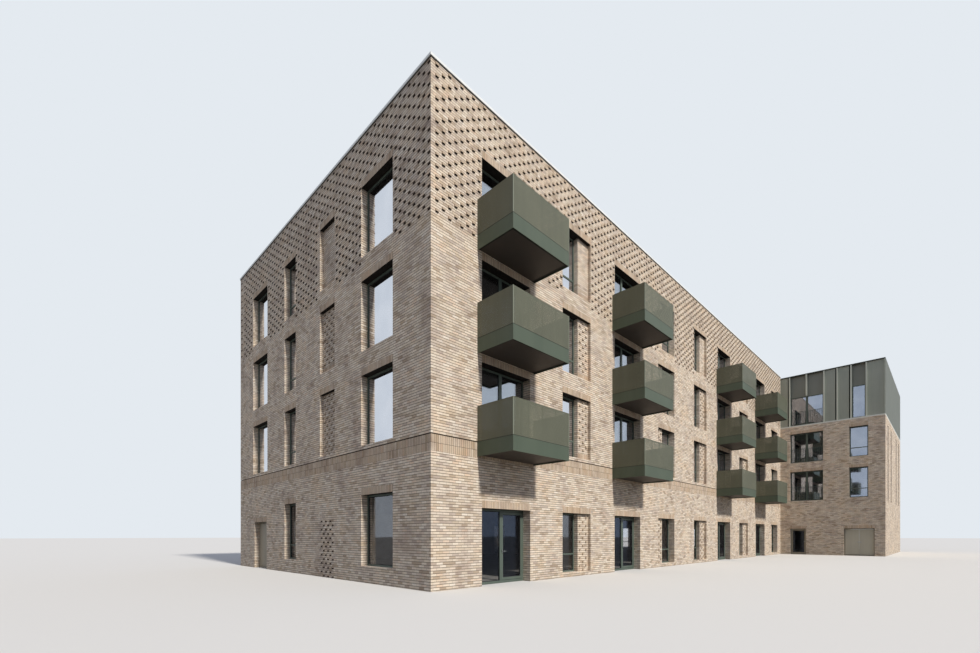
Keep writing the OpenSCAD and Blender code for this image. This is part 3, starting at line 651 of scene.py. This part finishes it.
# %% Walls of the wing
wing_inner_plane = (0, main_end, -1)
wing_end_plane = (1, wing_front_y, -1)
wing_side_plane = (0, wing_side_x, 1)
for name, walls, planes in (
        ("wing_front_brickwork", ["wing_ground_piers", "wing_front_wall"], [wing_inner_plane]),
        ("wing_end_brickwork", ["wing_end_wall"], [wing_end_plane, wing_inner_plane, wing_side_plane]),
        ("wing_side_brickwork", ["wing_side_wall"], [wing_side_plane]),
        ("wing_rear_brickwork", ["wing_rear_wall"], [rear_plane, wing_side_plane])):
    brickwork(name, walls, [(plane, None) for plane in planes])

# %% [markdown]
# The panels beside the windows are set back by more than half a brick. Their lattice has its own columns,
# three on the long sides and six on the gable.

# %% Recessed panels
panel_recess = 0.065
panel_header_out = 0.016
panel_first, panel_step = 0.067, 0.102
panel_courses = np.arange(0, 134)


def three_columns(node):
    """The lattice of a long side's panels: three columns from the start of each panel."""
    starts = np.unique(np.round(boxes_of(node)[0][:, 0], 4))
    columns = (starts[:, None] + panel_first + panel_step * np.arange(3)).ravel()
    return columns, np.tile([0, 1, 0], len(starts)), panel_courses


for side, (axis, at, outward) in (("front", front_plane), ("gable", gable_plane), ("rear", rear_plane)):
    name, node = side + "_panels", side + "_brick_panels"
    plane = (axis, at - outward * panel_recess, outward)
    lattice = staggered(patch_columns, panel_courses) if side == "gable" else three_columns(node)
    cells, = brickwork(name, [node], [(plane, None)], wall_t - panel_recess)
    add_headers(name + "_headers", plane, cells, [lattice], "panel_brick", pale_end_mark, panel_header_out)

# %% [markdown]
# ## Painted metal
# The frames, balconies, cladding and doors are powder-coated: baked paint that is even in colour, a little
# rough like orange peel, and duller where rain has dried on it. One function gives this finish its colour and
# sheen. Rain marks are long upright streaks, so their pattern is squeezed along the level.

# %% Powder coat
peel = 0.0006
rain_dulls = 0.08


def powder_coat(name, dark, light, roughness, streaks=0.5):
    """Baked paint between two close tones, streaked by rain, with a fine orange-peel surface."""
    material, tree, shader = new_material(name, Roughness=roughness)
    place = own_place(tree)
    long = add_node(tree, "ShaderNodeMapping", sockets={"Vector": place, "Scale": (9.0, 9.0, 0.7)}).outputs[0]
    rain = noise(tree, long, 1.0, 5.0)
    blend = math_node(tree, "MULTIPLY", rain, streaks)
    blend = math_node(tree, "MULTIPLY_ADD", noise(tree, place, 1.7, 3.0), 1.0 - streaks, blend)
    two_tones(tree, shader, blend, dark, light, 0.15)
    dull = math_node(tree, "MULTIPLY_ADD", rain, 2 * rain_dulls, roughness - rain_dulls)
    tree.links.new(dull, shader.inputs["Roughness"])
    add_bump(tree, shader, 0.4, peel, noise(tree, place, 350.0, 2.0))
    return material


frame_coat = powder_coat("sage_powder_coated_aluminium", "#525E55", "#616C62", 0.42)
# The panels in shade are painted lighter than their olive paint, and the sunlit end sheets darker than it.
cladding = powder_coat("olive_powder_coated_cladding_lightened_in_shade", "#9BA093", "#A7AB9E", 0.50)
end_sheet_darkened_for_sun = powder_coat("olive_powder_coated_end_sheet_darkened_in_sun", "#4E5348", "#595D51", 0.50)
fin_coat = powder_coat("pale_olive_powder_coated_fin", "#BDC1B3", "#C9CCBE", 0.50)
edge_coat = powder_coat("dark_olive_powder_coated_trim", "#2E3029", "#383A32", 0.5)
tray_coat = powder_coat("green_powder_coated_steel_tray", "#445040", "#4E5949", 0.50)
angle_coat = powder_coat("light_sage_powder_coated_angle", "#7F8575", "#8A9080", 0.45)
soffit_coat = powder_coat("umber_powder_coated_soffit", "#38322C", "#433B35", 0.6)
infill_coat = powder_coat("dark_olive_infill_panel", "#7A7C73", "#84867D", 0.55)
door_coat = powder_coat("khaki_powder_coated_door", "#C6C0AC", "#D2CCB8", 0.45)
leaf_coat = powder_coat("dark_khaki_powder_coated_door", "#9C9380", "#AAA18D", 0.45)
# A near-black that paints shade into the cladding's joints, under the coping, at the guards' feet and round the
# soffits.
painted_shade = powder_coat("painted_near_black_shade", "#12130E", "#191A14", 0.7)
coping_coat = powder_coat("white_powder_coated_coping", "#E2E5E3", "#EEF0EE", 0.45, 0.7)
cap_coat = powder_coat("pale_stone_grey_cap", "#CFD1C9", "#DBDDD5", 0.5, 0.7)
print("powder coats:", len([m for m in bpy.data.materials if "coat" in m.name or "clad" in m.name]))

# %% [markdown]
# The guard sheets are punched all over with small round holes, in rows that are staggered like a honeycomb.
# At full size they are 11 mm wide and 20 mm apart. There are too many to cut, so the paint is left out in
# round spots, which let sky and door frames show through.

# %% Perforated guard sheet
hole_pitch = 0.010
hole_r = 0.0027
row_share = 0.866
spare_holes = 4000.0


def perforated_sheet():
    """Paint with round holes: a point is open where it is nearer than the radius to a staggered centre.

    Rows are 0.866 of the pitch apart, and each second row is shifted by half a pitch."""
    material = powder_coat("perforated_olive_powder_coated_sheet", "#626452", "#6C6E5B", 0.45)
    tree = material.node_tree
    shader = tree.nodes["Principled BSDF"]
    split = add_node(tree, "ShaderNodeSeparateXYZ", sockets={0: own_place(tree)})
    run = math_node(tree, "ADD", split.outputs["X"], split.outputs["Y"])
    row = math_node(tree, "DIVIDE", split.outputs["Z"], hole_pitch * row_share)
    odd = math_node(tree, "MODULO", math_node(tree, "FLOOR", row), 2.0)
    step = math_node(tree, "MULTIPLY_ADD", odd, 0.5, math_node(tree, "DIVIDE", run, hole_pitch))
    du = math_node(tree, "SUBTRACT", math_node(tree, "FRACT", math_node(tree, "ADD", step, spare_holes)), 0.5)
    dv = math_node(tree, "MULTIPLY", math_node(tree, "SUBTRACT", math_node(tree, "FRACT", row), 0.5), row_share)
    away = math_node(tree, "SQRT", math_node(
        tree, "ADD", math_node(tree, "MULTIPLY", du, du), math_node(tree, "MULTIPLY", dv, dv)))
    tree.links.new(math_node(tree, "GREATER_THAN", away, hole_r / hole_pitch), shader.inputs["Alpha"])
    return material


guard_sheet = perforated_sheet()
print("open share of the sheet", round(math.pi * hole_r ** 2 / (row_share * hole_pitch ** 2), 2))

# %% [markdown]
# ## Glass
# The units are coated against the sun, which makes them mirror the pale sky, more at a slant than face on.
# What isn't mirrored passes through to the dim rooms. In the ground storey the glass has less of the coat,
# but for the rear. Metal with a partly open surface gives such a mirror without a second layer of glass.

# %% Coated glass


def coated_glass(name, face_on, slanting, tint, clear_share=0.0):
    """A mirror-like coat whose cover grows from face_on to slanting with the angle of view.

    Below the first floor the cover is less by clear_share of it."""
    material, tree, shader = new_material(name, Metallic=1.0, Roughness=0.03)
    place = own_place(tree)
    wave = noise(tree, place, 2.2, 1.0)
    two_tones(tree, shader, wave, *tint)
    slant = add_node(tree, "ShaderNodeLayerWeight", sockets={"Blend": 0.5}).outputs["Facing"]
    cover = math_node(tree, "MULTIPLY_ADD", slant, slanting - face_on, face_on)
    level = add_node(tree, "ShaderNodeSeparateXYZ", sockets={0: place}).outputs["Z"]
    low = math_node(tree, "LESS_THAN", level, first_floor)
    cover = math_node(tree, "MULTIPLY", cover, math_node(tree, "MULTIPLY_ADD", low, -clear_share, 1.0))
    tree.links.new(cover, shader.inputs["Alpha"])
    add_bump(tree, shader, 0.15, 0.002, wave)
    return material


upper_glass = coated_glass("sun_control_coated_glass", 0.85, 1.0, ("#DCE0E8", "#E8EAF0"), 0.85)
wing_glass = coated_glass("blue_sun_control_coated_glass", 0.72, 0.95, ("#A9B2C2", "#BAC1CE"), 0.85)
rear_glass = coated_glass("rear_sun_control_coated_glass", 0.85, 1.0, ("#DCE0E8", "#E8EAF0"))
balcony_glass = coated_glass("balcony_coated_glass", 0.42, 0.80, ("#C4CCD8", "#D2D9E2"))
ground_glass = coated_glass("clear_coated_glass", 0.04, 0.25, ("#7F8CA6", "#94A0B8"))
print("glass ready")

# %% [markdown]
# ## Concrete and roof
# Floors are plain concrete, and the flat roof is a mineral felt in overlapping strips.

# %% Concrete and felt
concrete, tree, shader = new_material("cast_concrete", Roughness=0.85)
place = own_place(tree)
two_tones(tree, shader, noise(tree, place, 3.0, 6.0), "#7D7B76", "#9A9791")
add_bump(tree, shader, 0.5, 0.001, noise(tree, place, 120.0, 3.0))

felt, tree, shader = new_material("mineral_roofing_felt", Roughness=0.9)
place = own_place(tree)
strips = add_node(tree, "ShaderNodeTexBrick", {"offset": 0.5},
                  {"Vector": place, "Scale": 1.0, "Color1": linear("#8C8D8B"), "Color2": linear("#9A9B98"),
                   "Mortar": linear("#6F706E"), "Mortar Size": 0.006, "Brick Width": 4.0, "Row Height": 0.5})
speckled = ramp(tree, noise(tree, place, 260.0, 2.0), [(0.35, "#A8A8A8"), (0.65, "#FFFFFF")])
tree.links.new(mixed(tree, 0.8, strips.outputs["Color"], speckled, "MULTIPLY"), shader.inputs["Base Color"])
print("concrete and felt ready")

# %% [markdown]
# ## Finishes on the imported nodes
# Most nodes already have the right shape, so they keep their meshes and only get their finish.

# %% Finishes
terrace_doors = [f"terrace_door_{i}" for i in range(1, 5)]
finishes = {
    concrete: ["ground_slab", "floor_slabs", "balcony_decks"],
    felt: ["roof_slab"],
    coping_coat: ["main_coping"],
    cap_coat: ["wing_cap"],
    fin_coat: ["wing_seams"],
    edge_coat: ["wing_roof_edge"],
    infill_coat: ["wing_infill_panels"],
    soffit_coat: ["balcony_soffits"],
    tray_coat: ["balcony_fascias", "balcony_rails"],
    guard_sheet: ["balcony_front_guards", "balcony_side_guards"],
    door_coat: ["store_door_left", "store_door_right"],
    leaf_coat: ["ground_door_frames", "service_door", "entrance_door"],
    upper_glass: ["front_window_glass", "gable_window_glass"],
    rear_glass: ["rear_window_glass"],
    wing_glass: ["wing_window_glass"],
    balcony_glass: ["balcony_door_glass"],
    ground_glass: ["terrace_fixed_glass", "entrance_glass"] + [f"terrace_glass_{i}" for i in range(1, 5)],
    frame_coat: ["front_window_frames", "gable_window_frames", "rear_window_frames", "wing_window_frames",
                 "balcony_door_frames", "terrace_door_frames", "juliet_rails"] + terrace_doors,
}
for finish, names in finishes.items():
    for name in names:
        nodes[name].data.materials.clear()
        nodes[name].data.materials.append(finish)
print(sum(len(names) for names in finishes.values()), "nodes finished")

# %% [markdown]
# ## Small pieces
# What is left are the thin lines that the eye looks for, and nearly all of them are thin boxes. First comes the
# black rubber that holds each sheet of glass in its frame. As real strips it rides with the doors' glass.

# %% Rubber round the glass
gasket_w = 0.008
gasket_out = 0.003
rubber = powder_coat("black_epdm_gasket", "#101314", "#191C1D", 0.7)


def add_gaskets(name, node, body):
    """Four thin strips along the edges of each sheet of glass, proud of both of its faces."""
    low, high = boxes_of(node)
    rows = np.arange(len(low))
    thin = np.argmin(high - low, axis=1)
    low[rows, thin] -= gasket_out
    high[rows, thin] += gasket_out
    strips = []
    for axis, trim in ((1 - thin, 0.0), (np.full(len(low), 2), gasket_w)):
        for at_low in (True, False):
            a, b = low.copy(), high.copy()
            a[rows, 1 - thin] += trim
            b[rows, 1 - thin] -= trim
            if at_low:
                b[rows, axis] = a[rows, axis] + gasket_w
            else:
                a[rows, axis] = b[rows, axis] - gasket_w
            strips.append((a, b))
    add_boxes(name, *np.concatenate(strips, 1), rubber, body, "frame_paint")


for side in ("front", "gable", "rear", "wing"):
    add_gaskets(side + "_window_gaskets", side + "_window_glass", "building")
add_gaskets("balcony_door_gaskets", "balcony_door_glass", "building")
add_gaskets("terrace_fixed_gaskets", "terrace_fixed_glass", "building")
add_gaskets("entrance_gaskets", "entrance_glass", "entrance_door_leaf")
for i in range(1, 5):
    add_gaskets(f"terrace_gaskets_{i}", f"terrace_glass_{i}", f"terrace_door_{i}_leaf")
print("gaskets", gasket_w, "m wide")

# %% [markdown]
# Each lever has a flat rose, a neck and a bar that points back over the door, a metre up at full size. It
# would be cast in stainless steel and brushed, which gives it a soft grey shine. At this size three boxes
# read as well as a bent bar.

# %% Door levers
lever_steel, tree, shader = new_material("brushed_stainless_steel", Metallic=1.0, Roughness=0.3)
grain = add_node(tree, "ShaderNodeMapping", sockets={"Vector": own_place(tree), "Scale": (60.0, 60.0, 900.0)})
two_tones(tree, shader, noise(tree, grain.outputs[0], 1.0, 3.0), "#B4B6B6", "#CBCDCD")
lever_up = 0.5
lever_in = 0.020
lever_parts = [(-0.008, 0.008, 0.045, -0.001, 0.004), (-0.005, 0.005, 0.010, 0.003, 0.024),
               (-0.005, 0.060, 0.010, 0.021, 0.029)]


def add_lever(leaf, side):
    """Rose, neck and bar on both faces of a door, beside its low (-1) or high (1) edge.

    Each part is its start and end along the door, its height, and where it starts and ends off the face."""
    low, high = (np.array(corner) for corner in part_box(leaf))
    thin = int(np.argmin(high - low))
    middle = (low if side < 0 else high)[1 - thin] - side * lever_in
    boxes = []
    for face, outward in ((low[thin], -1), (high[thin], 1)):
        for start, end, tall, first, last in lever_parts:
            corners = np.zeros((2, 3))
            corners[:, 1 - thin] = sorted([middle - side * start, middle - side * end])
            corners[:, 2] = lever_up - tall / 2, lever_up + tall / 2
            corners[:, thin] = sorted([face + outward * first, face + outward * last])
            boxes.append(corners)
    add_boxes(leaf + "_lever", *np.stack(boxes, 1), lever_steel, leaf + "_leaf", "door_paint")


store_side = 1 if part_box("store_door_left")[0].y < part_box("store_door_right")[0].y else -1
free_sides = {"service_door": -1, "entrance_door": -1, "store_door_left": store_side,
              "store_door_right": -store_side, **dict.fromkeys(terrace_doors, -1)}
for leaf, side in free_sides.items():
    add_lever(leaf, side)
print(len(free_sides), "doors with levers")

# %% [markdown]
# The metal storey's panels hang a little apart, so one looks into joints beside the fins, and their shade is
# painted near black. The packed sides are copied with two finishes: what lies behind the panels' face, but not
# as deep as the windows, is joint. The end sheets of the storey are flat and catch the sun. One olive paint is
# given two tones: the panels, which are in shade and also cover the narrow returns of the ends, are painted
# lighter, and the sunlit end sheets a tone darker, so that both read alike in the light.

# %% Cladding of the metal storey
panel_face, joint_back = 0.036, 0.086


def clad(name, node, triangles, second_coat, picked):
    """Replaces a metal wall by its own triangles, of which the picked ones get the second coat."""
    faces = np.arange(len(triangles) * 3).reshape(-1, 3)
    piece = add_piece(name, triangles.reshape(-1, 3), faces, [cladding, second_coat], "building",
                      picked.astype(int))
    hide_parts(node)
    print(name, int(picked.sum()), "triangles in the second coat")


sides = node_triangles("wing_metal_sides")
behind = np.minimum(sides[:, :, 0] - main_end, wing_side_x - sides[:, :, 0]).max(1)
clad("wing_metal_cladding", "wing_metal_sides", sides, painted_shade, (behind > panel_face) & (behind < joint_back))
ends = node_triangles("wing_metal_ends")
clad("wing_metal_end_sheets", "wing_metal_ends", ends, end_sheet_darkened_for_sun,
     on_plane(ends, 1, wing_front_y) | on_plane(ends, 1, rear_y))

# %% [markdown]
# Under the coping's lip a thin strip in the near-black of shade paints the shadow line there. It is three
# boxes, along the front, the gable and the rear.

# %% Painted shadow under the coping
shadow_strip_h = 0.018
shadow_strip_out = 0.006
shadow_strip_in = 0.02
left, foot = corner_x - shadow_strip_out, brick_top - shadow_strip_h
front_back, rear_front = corner_y + shadow_strip_in, rear_y - shadow_strip_in
shadow_strip_low = np.array([[left, corner_y - shadow_strip_out, foot], [left, front_back, foot], [left, rear_front, foot]])
shadow_strip_high = np.array([[main_end, front_back, brick_top], [corner_x + shadow_strip_in, rear_front, brick_top],
                      [main_end, rear_y + shadow_strip_out, brick_top]])
add_boxes("coping_shadow_strip", shadow_strip_low, shadow_strip_high, painted_shade, "building", "pale_coping")
print("the painted shadow strip is", shadow_strip_h, "m high")

# %% [markdown]
# On the balconies the punched guard stops just above the plain fascia, and a thin strip in the near-black of
# shade paints the shadow line there. Light angles close the front corners, where two guard sheets meet.

# %% Painted shadow lines and corner angles of the balconies
guard_shadow_out = np.array([0.0008, 0.0008, 0.001])
guard_shadow_h = 0.005
angle_out = 0.0015
angle_w = 0.009
angle_up = 0.006
guard_low, guard_high = boxes_of("balcony_front_guards")
side_low, side_high = boxes_of("balcony_side_guards")
all_low, all_high = np.concatenate([guard_low, side_low]), np.concatenate([guard_high, side_high])
guard_shadow_high = all_high + guard_shadow_out
guard_shadow_high[:, 2] = all_low[:, 2] + guard_shadow_h
add_boxes("balcony_guard_shadow_lines", all_low - guard_shadow_out, guard_shadow_high, painted_shade, "building", "balcony_paint")

half = len(guard_low)
angle_low, angle_high = np.tile(guard_low, (2, 1)), np.tile(guard_high, (2, 1))
angle_high[:half, 0] = guard_low[:, 0] + angle_w
angle_low[half:, 0] = guard_high[:, 0] - angle_w
angle_low[:half, 0] -= angle_out
angle_high[half:, 0] += angle_out
angle_low[:, 1] -= angle_out
angle_high[:, 1] = angle_low[:, 1] + angle_w
angle_low[:, 2] += angle_up
add_boxes("balcony_corner_angles", angle_low, angle_high, angle_coat, "building", "balcony_paint")
print(half, "balconies with", len(angle_low), "corner angles")

# %% [markdown]
# The soffit sheet hangs inside the fascias with an open gap round it, whose shade is painted as a near-black
# line. Each gap is a strip along the front and two along the sides, and they end just short of the wall.

# %% Painted shade in the gaps round the soffits
gap_w = 0.045
gap_t = 0.001
off_wall = 0.002
soffit_low, soffit_high = boxes_of("balcony_soffits")
gap_low, gap_high = np.stack([soffit_low] * 3), np.stack([soffit_high] * 3)
gap_high[0, :, 1] = gap_low[0, :, 1] + gap_w
gap_low[1:, :, 1] += gap_w
gap_high[1:, :, 1] = np.minimum(gap_high[1:, :, 1], corner_y - off_wall)
gap_high[1, :, 0] = gap_low[1, :, 0] + gap_w
gap_low[2, :, 0] = gap_high[2, :, 0] - gap_w
gap_high[..., 2] = gap_low[..., 2] + gap_t
gap_low[..., 2] -= gap_t
add_boxes("balcony_soffit_gap_shade", gap_low.reshape(-1, 3), gap_high.reshape(-1, 3), painted_shade, "building",
          "balcony_paint")
print(len(gap_low), "strips of gap on each of", len(soffit_low), "balconies")

# %% [markdown]
# One walks on composite boards, laid along the wall with a few millimetres between them. A pattern in the
# paint would lie flat, so they are boxes: the first of each balcony is repeated towards the wall.

# %% Balcony boards
board_count = 9
board_t = 0.006
board_gap = 0.004
board_sunk = 0.001
side_edge, front_edge = 0.03, 0.02
deck_low, deck_high = boxes_of("balcony_decks")
deck_high[:, 1] = np.minimum(deck_high[:, 1], corner_y - off_wall)
step = np.tile((deck_high[:, 1] - deck_low[:, 1] - front_edge) / board_count, board_count)
board_low, board_high = np.tile(deck_low, (board_count, 1)), np.tile(deck_high, (board_count, 1))
board_low[:, 0] += side_edge
board_high[:, 0] -= side_edge
board_low[:, 1] += front_edge + np.repeat(np.arange(board_count), len(deck_low)) * step
board_high[:, 1] = board_low[:, 1] + step - board_gap
board_low[:, 2] = board_high[:, 2] - board_sunk
board_high[:, 2] += board_t
decking = powder_coat("grey_brown_composite_decking", "#6E655B", "#82786D", 0.8)
add_boxes("balcony_boards", board_low, board_high, decking, "building", "balcony_paint")
print(len(board_low), "balcony boards")

# %% [markdown]
# ## Light
# The sun stands almost straight in front of the long side, a touch towards the gable: a balcony's shadow falls
# three quarters of its depth down the wall and hardly sideways. The gable and the wing's front are in open
# shade. The world is a pale sky that the camera and mirrors see in full, while it lights the walls more softly.

# %% Sun and sky
sun_up, sun_turn = 38.5, -4
sun = add_object("sun", bpy.data.lights.new("sun", "SUN"))
sun.data.energy = 3.35
sun.data.angle = math.radians(6)
sun.data.color = linear("#FFFAF3")[:3]
sun.rotation_euler = (math.radians(90 - sun_up), 0, math.radians(sun_turn))

world = bpy.data.worlds.new("pale_sky")
bpy.context.scene.world = world
world.use_nodes = True
tree = world.node_tree
tree.nodes.clear()
path = add_node(tree, "ShaderNodeLightPath")
seen = math_node(tree, "MAXIMUM", path.outputs["Is Camera Ray"], path.outputs["Is Glossy Ray"])
seen = math_node(tree, "MAXIMUM", seen, path.outputs["Is Transmission Ray"])
shown_sky = add_node(tree, "ShaderNodeBackground", sockets={"Color": linear("#E4EAF0"), "Strength": 1.0})
lit_sky = add_node(tree, "ShaderNodeBackground", sockets={"Color": linear("#DCE6FE"), "Strength": 0.47})
both = add_node(tree, "ShaderNodeMixShader", sockets={0: seen, 1: lit_sky.outputs[0], 2: shown_sky.outputs[0]})
add_node(tree, "ShaderNodeOutputWorld", sockets={"Surface": both.outputs[0]})
print("the sun stands", sun_up, "degrees up")

# %% [markdown]
# The floor is a plain sheet that keeps the building's shadow. It is pale for the camera and darker for every
# other ray, so it throws little light up the walls.

# %% Floor
reach = 150.0
floor_down = 0.002
floor_mesh = bpy.data.meshes.new("floor")
corners = reach * np.array([[-1, -1, 0], [1, -1, 0], [1, 1, 0], [-1, 1, 0]]) - (0, 0, floor_down)
floor_mesh.from_pydata(corners, [], [(0, 1, 2, 3)])
floor = add_object("floor", floor_mesh)
floor_finish = bpy.data.materials.new("pale_floor")
floor_finish.use_nodes = True
tree = floor_finish.node_tree
tree.nodes.clear()
path = add_node(tree, "ShaderNodeLightPath")
pale = add_node(tree, "ShaderNodeBsdfDiffuse", sockets={"Color": linear("#DFDDD8")})
dim = add_node(tree, "ShaderNodeBsdfDiffuse", sockets={"Color": linear("#8E8B85")})
both = add_node(tree, "ShaderNodeMixShader",
                sockets={0: path.outputs["Is Camera Ray"], 1: dim.outputs[0], 2: pale.outputs[0]})
add_node(tree, "ShaderNodeOutputMaterial", sockets={"Surface": both.outputs[0]})
floor_mesh.materials.append(floor_finish)
print("the floor reaches", reach, "m each way")
